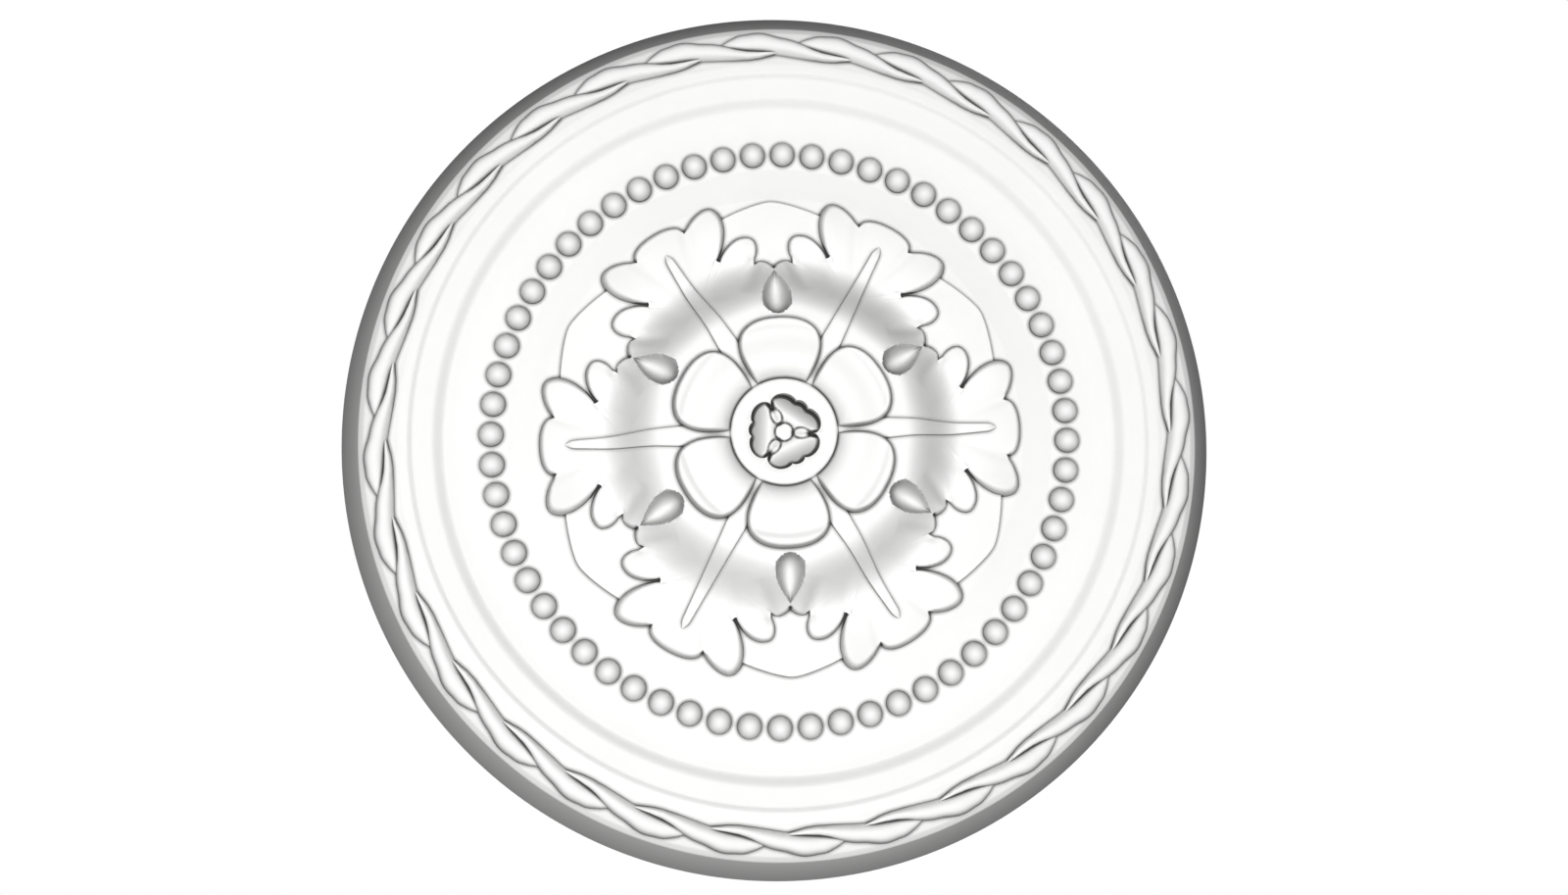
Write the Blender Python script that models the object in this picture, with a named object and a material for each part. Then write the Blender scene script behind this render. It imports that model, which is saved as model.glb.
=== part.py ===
# A round plaster ceiling rose, cast in one piece and flat on the back.
# Every size is in metres. The relief is modelled facing up, and the whole is then turned
# to face down, so that the flat back lies in the plane z = 0 against the ceiling.

import math

import bmesh
import bpy
from mathutils import Matrix, Vector

# The round body: each band runs inwards from the one before it, by its width and its rise
ROSE_RADIUS = 0.300
WALL_SPREAD = 0.0146
RIM_HEIGHT = 0.025
FILLET_WIDTH = 0.0039
FILLET_RISE = 0.0023
ROPE_WIDTH = 0.0235
ROPE_GROUND_RISE = 0.0057
LAND_WIDTH = 0.006
STEP_WIDTH = 0.003
STEP_DROP = 0.0018
SHELF_WIDTH = 0.012
SHELF_FALL = 0.0013
COVE_WIDTH = 0.010
COVE_DROP = 0.0043
FIELD_WIDTH = 0.020
FIELD_FALL = 0.0018
SEAT_WIDTH = 0.021
BAND_WIDTH = 0.021
BAND_RISE = 0.0028

# The rope border
ROPE_PITCH = 0.053
ROPE_REACH = 1.9
ROPE_STRAND_WIDTH = 0.0118
ROPE_CROWN = 0.0072
ROPE_INSET = 0.005
ROPE_OUTSET = 0.0061
ROPE_CROSSING = (0.12, 0.74)
ROPE_BLUNTNESS = 0.06
ROPE_FLATNESS = 0.6
ROPE_SECTIONS = 6

# The ring of beads
BEAD_DIAMETER = 0.0174
BEAD_GAP = 0.0032
BEAD_SINK = 0.001
BEAD_SIDES = 6
BEAD_WAIST = math.radians(48)

# The plate and the leaves, whose carving is in shares of the medallion's radius
LEAF_COUNT = 6
PLATE_THICKNESS = 0.0018
PLATE_CORNER = 0.985
PLATE_ROUNDING = 0.123
PLATE_BEVEL = 0.0006
LEAF_THICKNESS = 0.0040
LEAF_RISE = 0.0245
LEAF_EDGE_WIDTH = 0.0025
LEAF_EDGE_DROP = 0.0020
LEAF_SLOPE_TOP = 0.52
LEAF_SLOPE_FOOT = 0.80
LEAF_INNER = 0.42
LEAF_HUB = 0.63
LEAF_TIP = 0.996
LEAF_MEETING = 0.694
LOBE_FULLNESS = 2.2
RIB_HEIGHT = 0.0012
RIB_ROOT = 0.048
RIB_TIP = 0.016
RIB_END = 0.89
RIB_CROWN = 0.8

# The notches and lobes of half a leaf, as shares of the half sector across and of the radius along
TIP_NOTCH = (0.243, 0.942)
LARGE_LOBE = (0.570, 0.977)
DEEP_NOTCH = (0.421, 0.768)
SMALL_LOBE = (0.745, 0.848)
LOW_NOTCH = (0.803, 0.733)
LOW_LOBE = (0.920, 0.735)

# The drop-shaped eyes between the leaves, also in shares of the medallion's radius
EYE_BULB = 0.548
EYE_RADIUS = 0.048
EYE_POINT = 0.682
EYE_LIFT = 0.0008
EYE_SIDES = 6

# An eye's rings: how far along from the bulb's centre, and how wide, in shares of its radius
EYE_RINGS = ((-0.75, 0.66), (-0.20, 0.98), (0.40, 0.95), (1.55, 0.42))

# The flower, its flat ring and its bud, in shares of the medallion's radius
FLOWER_RADIUS = 0.472
FLOWER_RISE = 0.009
PETAL_GAP = 0.0022
PETAL_EDGE_WIDTH = 0.0020
PETAL_EDGE_DROP = 0.0024
PETAL_INNER = 0.205
PETAL_STRAIGHT = 0.24
PETAL_HUB = 0.34
PETAL_FOOT = (0.20, 0.37)
PETAL_FOOT_DROP = 0.0012
PETAL_DISH = (0.36, 0.40)
PETAL_LIP = (0.41, 0.44)
PETAL_DISH_DEPTH = 0.0012
PETAL_FULLNESS = 3
HUB_RADIUS = 0.222
HUB_DROP = 0.005
WELL_RADIUS = 0.145
WELL_DEPTH = 0.015
WELL_SCALLOP = 0.08
BUD_PETALS = 3
BUD_TURN = math.radians(54)
BUD_DROP = 0.003
BUD_FALL = 0.010
BUD_EDGE_WIDTH = 0.0012
BUD_EDGE_DROP = 0.0012
BALL_RADIUS = 0.040
BALL_LIFT = 0.0016

# The bud's carving, in shares of the well's radius
BUD_SHOULDER = (0.35, 0.95)
BUD_PETAL_MIDDLE = 0.56
BUD_PETAL_LENGTH = 0.38
BUD_PETAL_HALF = math.radians(49)
BUD_LEAF_MIDDLE = 0.44
BUD_LEAF_LENGTH = 0.28
BUD_LEAF_WIDTH = 0.13
BUD_LEAF_LIFT = 0.0004

# How deep a carved form reaches into what carries it
SINK = 0.004
CORE_CLEARANCE = 0.0006

# Heights that follow from the sizes above
BODY_BANDS = (
    (WALL_SPREAD, RIM_HEIGHT),
    (FILLET_WIDTH, FILLET_RISE),
    (ROPE_WIDTH, ROPE_GROUND_RISE),
    (LAND_WIDTH, 0.0),
    (STEP_WIDTH, -STEP_DROP),
    (SHELF_WIDTH, -SHELF_FALL),
    (COVE_WIDTH, -COVE_DROP),
    (FIELD_WIDTH, -FIELD_FALL),
    (SEAT_WIDTH, 0.0),
    (BAND_WIDTH, BAND_RISE),
)
SEAT_HEIGHT = sum(rise for width, rise in BODY_BANDS[:-1])
BAND_HEIGHT = SEAT_HEIGHT + BAND_RISE
MEDALLION_RADIUS = ROSE_RADIUS - sum(width for width, rise in BODY_BANDS)
BEAD_RING_RADIUS = MEDALLION_RADIUS + BAND_WIDTH + SEAT_WIDTH / 2
BEAD_COUNT = round(2 * math.pi * BEAD_RING_RADIUS / (BEAD_DIAMETER + BEAD_GAP))
ROPE_OUTER_RADIUS = ROSE_RADIUS - WALL_SPREAD - FILLET_WIDTH
ROPE_OUTER_HEIGHT = RIM_HEIGHT + FILLET_RISE
PLATE_HEIGHT = BAND_HEIGHT + PLATE_THICKNESS
TIP_HEIGHT = PLATE_HEIGHT + LEAF_THICKNESS
LEAF_TOP = TIP_HEIGHT + LEAF_RISE
FLOWER_TOP = LEAF_TOP + FLOWER_RISE
HUB_HEIGHT = FLOWER_TOP - HUB_DROP
WELL_FLOOR = HUB_HEIGHT - WELL_DEPTH
BUD_TOP = HUB_HEIGHT - BUD_DROP
HALF_SECTOR = math.pi / LEAF_COUNT


def smooth(value, start=0.0, end=1.0):
    share = min(max((value - start) / (end - start), 0.0), 1.0)
    return share * share * (3 - 2 * share)


def arch(turn, fullness):
    # A point of a half superellipse: 1 to -1 across while it rises from 0 to 1 and back
    across = math.copysign(abs(math.cos(turn)) ** (2 / fullness), math.cos(turn))
    return across, math.sin(turn) ** (2 / fullness)


def polar(angle, radius):
    return Vector((radius * math.cos(angle), radius * math.sin(angle)))


def raised(point, height):
    return Vector((point.x, point.y, height))


def turned(angle):
    return Matrix.Rotation(angle, 4, "Z")


# Meshes and objects

def add_loft(work, rings, closed_start=True, closed_end=True):
    loops = [[work.verts.new(point) for point in ring] for ring in rings]
    for lower, upper in zip(loops, loops[1:]):
        for i, corner in enumerate(lower):
            j = (i + 1) % len(lower)
            work.faces.new((corner, lower[j], upper[j], upper[i]))
    if closed_start:
        work.faces.new(reversed(loops[0]))
    if closed_end:
        work.faces.new(loops[-1])
    return loops


def add_cap(work, loop, point):
    pole = work.verts.new(point)
    for i, corner in enumerate(loop):
        work.faces.new((corner, loop[(i + 1) % len(loop)], pole))


def mesh_of(work):
    bmesh.ops.recalc_face_normals(work, faces=work.faces)
    mesh = bpy.data.meshes.new("carving")
    work.to_mesh(mesh)
    work.free()
    return mesh


def make_part(name, mesh, group, matrix):
    copy = mesh.copy()
    copy.transform(matrix)
    item = bpy.data.objects.new(name, copy)
    item.hide_render = True
    item.display_type = "WIRE"
    group.objects.link(item)


def make_group(name):
    group = bpy.data.collections.new(name)
    bpy.context.scene.collection.children.link(group)
    return group


def plaster_material():
    material = bpy.data.materials.new("white_plaster")
    material.use_nodes = True
    shader = material.node_tree.nodes["Principled BSDF"]
    shader.inputs["Base Color"].default_value = (0.86, 0.86, 0.85, 1.0)
    shader.inputs["Roughness"].default_value = 0.7
    shader.inputs["Metallic"].default_value = 0.0
    return material


# The body, with the flat ring of the flower and the well of the bud in its middle

def well_radius(angle):
    cusp = (1 - abs(math.sin(BUD_PETALS * (angle - BUD_TURN)))) ** 3
    return MEDALLION_RADIUS * WELL_RADIUS * (1 - WELL_SCALLOP * cusp)


def body_ring(radius, height):
    # One side of the body lies behind each bead
    angles = [2 * math.pi * i / BEAD_COUNT for i in range(BEAD_COUNT)]
    return [raised(polar(angle, radius(angle) if callable(radius) else radius), height)
            for angle in angles]


def make_body(material):
    radius, height = ROSE_RADIUS, 0.0
    rings = [body_ring(radius, height)]
    for width, rise in BODY_BANDS:
        radius, height = radius - width, height + rise
        rings.append(body_ring(radius, height))
    core_radius = MEDALLION_RADIUS * (LEAF_INNER + FLOWER_RADIUS) / 2
    core_height = LEAF_TOP - CORE_CLEARANCE
    hub_radius = MEDALLION_RADIUS * HUB_RADIUS
    rings.append(body_ring(core_radius, height))
    rings.append(body_ring(core_radius, core_height))
    rings.append(body_ring(hub_radius, core_height))
    rings.append(body_ring(hub_radius, HUB_HEIGHT))
    rings.append(body_ring(well_radius, HUB_HEIGHT))
    rings.append(body_ring(well_radius, WELL_FLOOR))
    work = bmesh.new()
    add_loft(work, rings)
    body = bpy.data.objects.new("ceiling_rose", mesh_of(work))
    body.data.materials.append(material)
    bpy.context.scene.collection.objects.link(body)
    return body


# The rope: each strand starts at the inner edge, rises over the next and ends at the outer edge

def rope_ground(radius):
    share = (ROPE_OUTER_RADIUS - radius) / ROPE_WIDTH
    return ROPE_OUTER_HEIGHT + ROPE_GROUND_RISE * share


def make_strand(pitch_angle):
    inner = ROPE_OUTER_RADIUS - ROPE_WIDTH + ROPE_INSET
    outer = ROPE_OUTER_RADIUS - ROPE_OUTSET
    least = math.sin(math.pi * ROPE_BLUNTNESS) ** 0.5
    rings = []
    for i in range(ROPE_SECTIONS):
        share = i / (ROPE_SECTIONS - 1)
        radius = inner + (outer - inner) * smooth(share, *ROPE_CROSSING)
        taper = ROPE_BLUNTNESS + (1 - 2 * ROPE_BLUNTNESS) * share
        fullness = math.sin(math.pi * taper) ** 0.5
        half = ROPE_STRAND_WIDTH / 2 * fullness
        top = rope_ground(radius) + ROPE_CROWN * (fullness - least) / (1 - least)
        foot = rope_ground(radius) - SINK
        angle = pitch_angle * ROPE_REACH * share
        crown = half * ROPE_FLATNESS
        section = ((half, foot), (crown, top), (-crown, top), (-half, foot))
        rings.append([raised(polar(angle, radius + side), height) for side, height in section])
    work = bmesh.new()
    add_loft(work, rings)
    return mesh_of(work)


def add_rope(group):
    middle = ROPE_OUTER_RADIUS - ROPE_WIDTH / 2
    count = round(2 * math.pi * middle / ROPE_PITCH)
    pitch_angle = 2 * math.pi / count
    strand = make_strand(pitch_angle)
    for i in range(count):
        make_part(f"strand_{i + 1}", strand, group, turned(pitch_angle * i))


# The beads: low domes on their flat seat

def make_bead():
    radius = BEAD_DIAMETER / 2
    work = bmesh.new()
    rings = []
    for latitude, height in ((0, SEAT_HEIGHT - BEAD_SINK), (BEAD_WAIST, SEAT_HEIGHT)):
        across = radius * math.cos(latitude)
        up = radius * math.sin(latitude)
        corners = [2 * math.pi * (i + 0.5) / BEAD_SIDES for i in range(BEAD_SIDES)]
        rings.append([raised(polar(corner, across), height + up) for corner in corners])
    loops = add_loft(work, rings, closed_end=False)
    add_cap(work, loops[-1], Vector((0, 0, SEAT_HEIGHT + radius)))
    return mesh_of(work)


def add_beads(group):
    bead = make_bead()
    for i in range(BEAD_COUNT):
        angle = 2 * math.pi * (i + 0.5) / BEAD_COUNT
        outwards = Matrix.Translation((BEAD_RING_RADIUS, 0, 0))
        make_part(f"bead_{i + 1}", bead, group, turned(angle) @ outwards)


# The plate: a thin six-cornered slab whose corners show between the leaves

def add_plate(group):
    steps = 4
    outline = []
    for i in range(2 * steps * LEAF_COUNT):
        angle = HALF_SECTOR * i / steps
        off_corner = abs(i % (2 * steps) - steps) / steps
        outline.append((angle, MEDALLION_RADIUS * PLATE_CORNER * (1 - PLATE_ROUNDING * off_corner)))
    rings = [[raised(polar(angle, radius - inset), height) for angle, radius in outline]
             for inset, height in ((0, BAND_HEIGHT - SINK), (0, PLATE_HEIGHT - PLATE_BEVEL),
                                   (PLATE_BEVEL, PLATE_HEIGHT))]
    work = bmesh.new()
    add_loft(work, rings)
    make_part("plate", mesh_of(work), group, Matrix())


# The leaves: seven lobes each, low at the tips and high where they meet the flower

def leaf_height(radius):
    share = radius / MEDALLION_RADIUS
    return TIP_HEIGHT + LEAF_RISE * (1 - smooth(share, LEAF_SLOPE_TOP, LEAF_SLOPE_FOOT))


def sector_point(across, along):
    return polar(HALF_SECTOR * across, MEDALLION_RADIUS * along)


def lobe(start, crown, end, steps):
    # An arch from start over crown to end, without its last point
    middle = (start + end) / 2
    points = []
    for i in range(steps):
        side, rise = arch(math.pi * i / steps, LOBE_FULLNESS)
        points.append(middle + (start - middle) * side + (crown - middle) * rise)
    return points


def half_leaf_outline():
    # From the inner arc's middle, along the side shared with the next leaf, round the lobes to the tip
    tip_notch = sector_point(*TIP_NOTCH)
    deep_notch = sector_point(*DEEP_NOTCH)
    low_notch = sector_point(*LOW_NOTCH)
    meeting = sector_point(1, LEAF_MEETING)
    points = [(sector_point(0, LEAF_INNER), "arc"), (sector_point(0.5, LEAF_INNER), "arc"),
              (sector_point(1, LEAF_INNER), "side"),
              (sector_point(1, (LEAF_INNER + LEAF_MEETING) / 2), "side"), (meeting, "side")]
    free = lobe(meeting, sector_point(*LOW_LOBE), low_notch, 2)[1:]
    free += lobe(low_notch, sector_point(*SMALL_LOBE), deep_notch, 3)
    free += lobe(deep_notch, sector_point(*LARGE_LOBE), tip_notch, 4)
    free += lobe(tip_notch, sector_point(0, LEAF_TIP), tip_notch * Vector((1, -1)), 4)[:3]
    return points + [(point, "free") for point in free]


def leaf_outline():
    half = half_leaf_outline()
    mirrored = [(Vector((point.x, -point.y)), kind) for point, kind in reversed(half[1:-1])]
    return half + mirrored


def add_leaves(group):
    outline = leaf_outline()
    hub = Vector((MEDALLION_RADIUS * LEAF_HUB, 0))
    work = bmesh.new()
    for k in range(LEAF_COUNT):
        turn = turned(2 * HALF_SECTOR * k)
        loops = []
        for share, inset, drop in ((1 / 3, 0, 0), (2 / 3, 0, 0), (1, LEAF_EDGE_WIDTH, 0),
                                   (1, 0, LEAF_EDGE_DROP)):
            ring = []
            for point, kind in outline:
                arm = (point - hub) * share
                place = hub + arm * (1 - inset / arm.length)
                height = leaf_height(place.length) - (drop if kind == "free" else 0)
                ring.append(turn @ raised(place, height))
            loops.append([work.verts.new(corner) for corner in ring])
        foot = BAND_HEIGHT - SINK
        loops.append([work.verts.new(turn @ raised(point, foot)) for point, kind in outline])
        count = len(outline)
        for lower, upper in zip(loops, loops[1:]):
            for i in range(count):
                j = (i + 1) % count
                shared = outline[i][1] == outline[j][1] == "side"
                if not (shared and upper is loops[-1]):
                    work.faces.new((lower[i], lower[j], upper[j], upper[i]))
        add_cap(work, loops[0], turn @ raised(hub, leaf_height(hub.x)))
        add_cap(work, loops[-1], turn @ raised(hub, foot))
    bmesh.ops.remove_doubles(work, verts=work.verts, dist=1e-6)
    make_part("leaves", mesh_of(work), group, Matrix())


def add_ribs(group):
    steps = 4
    rings = []
    for i in range(steps + 1):
        along = i / steps
        radius = MEDALLION_RADIUS * (LEAF_INNER + (RIB_END - LEAF_INNER) * along)
        half = MEDALLION_RADIUS * (RIB_ROOT + (RIB_TIP - RIB_ROOT) * along)
        top = leaf_height(radius) + RIB_HEIGHT
        foot = leaf_height(radius) - SINK
        rings.append([Vector((radius, side, height)) for side, height in
                      ((-half, foot), (-half * RIB_CROWN, top), (half * RIB_CROWN, top),
                       (half, foot))])
    work = bmesh.new()
    add_loft(work, rings)
    rib = mesh_of(work)
    for k in range(LEAF_COUNT):
        make_part(f"rib_{k + 1}", rib, group, turned(2 * HALF_SECTOR * k))


# The eyes: drop-shaped hollows whose fat end is towards the flower

def add_eyes(group):
    bulb = MEDALLION_RADIUS * EYE_BULB
    point = MEDALLION_RADIUS * EYE_POINT
    start = Vector((bulb, 0, leaf_height(bulb) + EYE_LIFT))
    end = Vector((point, 0, leaf_height(point) + EYE_LIFT))
    axis = (end - start).normalized()
    sideways = Vector((0, 1, 0))
    upward = axis.cross(sideways)
    radius = MEDALLION_RADIUS * EYE_RADIUS
    corners = [2 * math.pi * (i + 0.5) / EYE_SIDES for i in range(EYE_SIDES)]
    around = [sideways * math.cos(corner) + upward * math.sin(corner) for corner in corners]
    work = bmesh.new()
    loops = add_loft(work, [[start + (axis * along + arm * wide) * radius for arm in around]
                            for along, wide in EYE_RINGS], closed_start=False, closed_end=False)
    add_cap(work, loops[0], start - axis * radius)
    add_cap(work, loops[-1], end)
    eye = mesh_of(work)
    for k in range(LEAF_COUNT):
        make_part(f"eye_{k + 1}", eye, group, turned(HALF_SECTOR * (2 * k + 1)))


# Pillows: closed forms with a rounded edge round a flat outline, for petals and the bud

def make_pillow(outline, hub, height, foot, edge_width, edge_drop):
    inner = [hub + (point - hub) * (1 - edge_width / (point - hub).length) for point in outline]
    middle = [(hub + point) / 2 for point in inner]
    rings = [[raised(point, foot) for point in outline],
             [raised(point, height(point) - edge_drop) for point in outline],
             [raised(point, height(point)) for point in inner],
             [raised(point, height(point)) for point in middle]]
    work = bmesh.new()
    loops = add_loft(work, rings, closed_end=False)
    add_cap(work, loops[-1], raised(hub, height(hub)))
    return mesh_of(work)


def petal_height(point):
    # Low at the flat ring, then a shallow dish, then a raised lip along the outer edge
    share = point.length / MEDALLION_RADIUS
    fall = (HUB_DROP + PETAL_FOOT_DROP) * (1 - smooth(share, *PETAL_FOOT))
    dish = PETAL_DISH_DEPTH * (smooth(share, *PETAL_DISH) - smooth(share, *PETAL_LIP))
    return FLOWER_TOP - fall - dish


def petal_outline():
    inner = MEDALLION_RADIUS * PETAL_INNER
    straight = MEDALLION_RADIUS * PETAL_STRAIGHT
    outer = MEDALLION_RADIUS * FLOWER_RADIUS
    half = HALF_SECTOR - PETAL_GAP / 2 / (MEDALLION_RADIUS * PETAL_HUB)
    points = [polar(-half, inner), polar(-half, straight)]
    steps = 8
    for i in range(1, steps):
        side, rise = arch(math.pi * i / steps, PETAL_FULLNESS)
        points.append(polar(-half * side, straight + (outer - straight) * rise))
    return points + [polar(half, straight), polar(half, inner)]


def add_flower(group):
    petal = make_pillow(petal_outline(), Vector((MEDALLION_RADIUS * PETAL_HUB, 0)), petal_height,
                        LEAF_TOP - SINK, PETAL_EDGE_WIDTH, PETAL_EDGE_DROP)
    for k in range(LEAF_COUNT):
        make_part(f"petal_{k + 1}", petal, group, turned(HALF_SECTOR * (2 * k + 1)))


# The bud: three fat petals, three slim leaves between them and a ball in the middle

def bud_height(point):
    share = point.length / (MEDALLION_RADIUS * WELL_RADIUS)
    return BUD_TOP - BUD_FALL * smooth(share, *BUD_SHOULDER)


def slim_height(point):
    return bud_height(point) + BUD_LEAF_LIFT


def ball_height(point):
    radius = MEDALLION_RADIUS * BALL_RADIUS
    return BUD_TOP + BALL_LIFT - radius + math.sqrt(max(radius ** 2 - point.length_squared, 0))


def circle(steps):
    return [2 * math.pi * i / steps for i in range(steps)]


def make_bud_form(outline, hub, height):
    return make_pillow(outline, hub, height, WELL_FLOOR - SINK, BUD_EDGE_WIDTH, BUD_EDGE_DROP)


def add_bud(group):
    well = MEDALLION_RADIUS * WELL_RADIUS
    outline = [polar(BUD_PETAL_HALF * math.sin(turn),
                     well * (BUD_PETAL_MIDDLE + BUD_PETAL_LENGTH * math.cos(turn))) for turn in circle(8)]
    petal = make_bud_form(outline, Vector((well * BUD_PETAL_MIDDLE, 0)), bud_height)
    outline = [well * Vector((BUD_LEAF_MIDDLE + BUD_LEAF_LENGTH * math.cos(turn),
                              BUD_LEAF_WIDTH * math.sin(turn))) for turn in circle(6)]
    slim = make_bud_form(outline, Vector((well * BUD_LEAF_MIDDLE, 0)), slim_height)
    for k in range(BUD_PETALS):
        turn = BUD_TURN + 2 * math.pi * k / BUD_PETALS
        make_part(f"bud_petal_{k + 1}", petal, group, turned(turn))
        make_part(f"bud_leaf_{k + 1}", slim, group, turned(turn + math.pi / BUD_PETALS))
    outline = [polar(turn, MEDALLION_RADIUS * BALL_RADIUS) for turn in circle(9)]
    ball = make_pillow(outline, Vector((0, 0)), ball_height, WELL_FLOOR - SINK, BUD_EDGE_WIDTH, 0)
    make_part("ball", ball, group, Matrix())


def add_boolean(item, name, group, operation):
    step = item.modifiers.new(name, "BOOLEAN")
    step.operation = operation
    step.operand_type = "COLLECTION"
    step.collection = group
    step.solver = "EXACT"


def main():
    for item in list(bpy.data.objects):
        bpy.data.objects.remove(item)
    rose = make_body(plaster_material())
    relief = make_group("relief")
    add_rope(relief)
    add_beads(relief)
    add_plate(relief)
    add_leaves(relief)
    add_ribs(relief)
    add_flower(relief)
    add_bud(relief)
    add_boolean(rose, "carving", relief, "UNION")
    hollows = make_group("hollows")
    add_eyes(hollows)
    add_boolean(rose, "eyes", hollows, "DIFFERENCE")
    ceiling = bpy.data.objects.new("ceiling_face", None)
    bpy.context.scene.collection.objects.link(ceiling)
    ceiling.rotation_euler = (math.pi, 0, 0)
    for item in list(bpy.data.objects):
        if item is not ceiling:
            item.parent = ceiling


main()
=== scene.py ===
import math

import bmesh
import bpy
import numpy as np
from mathutils import Matrix, Vector


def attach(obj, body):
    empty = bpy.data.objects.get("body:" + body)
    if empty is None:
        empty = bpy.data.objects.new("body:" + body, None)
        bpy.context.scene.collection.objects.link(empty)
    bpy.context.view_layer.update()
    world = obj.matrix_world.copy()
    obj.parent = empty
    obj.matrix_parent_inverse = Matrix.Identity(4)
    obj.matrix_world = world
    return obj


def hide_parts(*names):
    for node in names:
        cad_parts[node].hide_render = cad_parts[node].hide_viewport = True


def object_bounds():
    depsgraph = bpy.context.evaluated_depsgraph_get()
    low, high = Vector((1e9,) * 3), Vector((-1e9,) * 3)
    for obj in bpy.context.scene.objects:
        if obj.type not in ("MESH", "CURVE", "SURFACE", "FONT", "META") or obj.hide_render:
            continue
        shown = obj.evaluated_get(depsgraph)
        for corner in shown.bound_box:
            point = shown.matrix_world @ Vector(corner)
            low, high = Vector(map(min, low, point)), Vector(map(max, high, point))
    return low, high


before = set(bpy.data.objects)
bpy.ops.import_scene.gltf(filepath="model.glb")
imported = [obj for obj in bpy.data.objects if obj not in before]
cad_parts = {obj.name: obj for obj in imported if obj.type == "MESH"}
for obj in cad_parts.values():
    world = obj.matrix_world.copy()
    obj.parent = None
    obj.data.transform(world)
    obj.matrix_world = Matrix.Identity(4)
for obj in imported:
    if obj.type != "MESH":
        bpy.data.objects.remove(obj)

cadLow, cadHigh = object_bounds()
roseNode = "ceiling_rose"
roseRadius = (cadHigh.x - cadLow.x) / 2
roseDepth = cadHigh.z - cadLow.z
faceDown = Matrix.Rotation(math.pi, 4, "X")

sink = 0.004            # how far a form reaches into what carries it
bevelShare = 0.3        # the middle of a bevel lies this share of it inwards and down
weld = 1e-6             # points closer together than this become one
tiny = 1e-9             # keeps a division away from zero

# The body's bands run inwards from the back edge: each one's width and rise
bodyBands = {
    "wall": (0.0146, 0.0250),
    "fillet": (0.0039, 0.0023),
    "ropeGround": (0.0235, 0.0057),
    "land": (0.0060, 0.0),
    "step": (0.0030, -0.0018),
    "shelf": (0.0120, -0.0013),
    "cove": (0.0100, -0.0043),
    "field": (0.0200, -0.0018),
    "seat": (0.0210, 0.0),
    "band": (0.0210, 0.0028),
}


def bandEnds():
    # outer and inner end of every band, as (radius, height)
    ends, radius, height = {}, roseRadius, 0.0
    for name, (width, rise) in bodyBands.items():
        ends[name] = ((radius, height), (radius - width, height + rise))
        radius, height = ends[name][1]
    return ends


bands = bandEnds()
medallion = bands["band"][1][0]     # radius of the leaves' tips
bandHeight = bands["band"][1][1]
seatHeight = bands["seat"][1][1]

print("frame:", round(roseRadius * 2000), "mm across,", round(roseDepth * 1000, 1), "mm deep")


# Points and heights

def smooth(value, start, end):
    share = np.clip((np.asarray(value, float) - start) / (end - start), 0, 1)
    return share * share * (3 - 2 * share)


def polar(angle, radius):
    return np.array((radius * math.cos(angle), radius * math.sin(angle)))


def arch(turn, fullness):
    # half a superellipse: 1 to -1 across while it rises from 0 to 1 and back
    across = math.copysign(abs(math.cos(turn)) ** (2 / fullness), math.cos(turn))
    return across, max(math.sin(turn), 0) ** (2 / fullness)


def withHeight(points, heights):
    points = np.asarray(points, float)
    return np.column_stack((points, np.broadcast_to(heights, len(points))))


def hillAt(points, middle, width):
    return np.exp(-((points - middle) ** 2).sum(axis=1) / width ** 2)


def furrowAlong(points, start, end, width, fading):
    # 1 on the line at its start, fading to 0 at its end and to the sides
    along = end - start
    share = np.clip((points - start) @ along / (along @ along), 0, 1)
    away = ((points - start - share[:, None] * along) ** 2).sum(axis=1)
    return np.exp(-away / width ** 2) * (1 - share) ** fading


def inwardNormals(outline, middle):
    ahead = np.roll(outline, -1, axis=0) - outline
    behind = outline - np.roll(outline, 1, axis=0)
    along = ahead / np.hypot(*ahead.T)[:, None] + behind / np.hypot(*behind.T)[:, None]
    along /= np.maximum(np.hypot(*along.T), tiny)[:, None]
    normals = np.column_stack((along[:, 1], -along[:, 0]))
    if ((middle - outline) * normals).sum() < 0:
        return -normals
    return normals


def cushionLayers(outline, middle, widths, heightOf, foot, form, lowest=0.0):
    # rings of points from the foot up over a rounded edge and on towards the middle, and the
    # middle itself. The edge has its own width at every point, and stays above the lowest height.
    normals = inwardNormals(outline, middle)
    layers = [withHeight(outline, foot)]
    for i in range(form["edgeSteps"] + 1):
        share = 1 - math.cos(math.pi / 2 * i / form["edgeSteps"])
        places = outline + normals * (widths * share)[:, None]
        drop = widths * form["edgeSteepness"] * (1 - share) ** form["edgeCurve"]
        layers.append(withHeight(places, np.maximum(heightOf(places) - drop, lowest)))
    inner = layers[-1][:, :2]
    for i in range(1, form["rings"]):
        places = inner + (middle - inner) * (i / form["rings"]) ** form["ringCrowding"]
        layers.append(withHeight(places, heightOf(places)))
    return layers, withHeight([middle], heightOf(np.array([middle])))[0]


# Meshes

def joinRings(work, rings):
    # a band of faces from each ring of points to the next
    loops = [[work.verts.new(point) for point in ring] for ring in rings]
    for lower, upper in zip(loops, loops[1:]):
        for i, corner in enumerate(lower):
            j = (i + 1) % len(lower)
            work.faces.new((corner, lower[j], upper[j], upper[i]))
    return loops


def loftRings(rings, pole=None):
    # a closed form: one face under the first ring, and a fan to the pole or one face on the last
    work = bmesh.new()
    loops = joinRings(work, rings)
    work.faces.new(reversed(loops[0]))
    if pole is None:
        work.faces.new(loops[-1])
        return work
    top = work.verts.new(pole)
    for i, corner in enumerate(loops[-1]):
        work.faces.new((corner, loops[-1][(i + 1) % len(loops[-1])], top))
    return work


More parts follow.
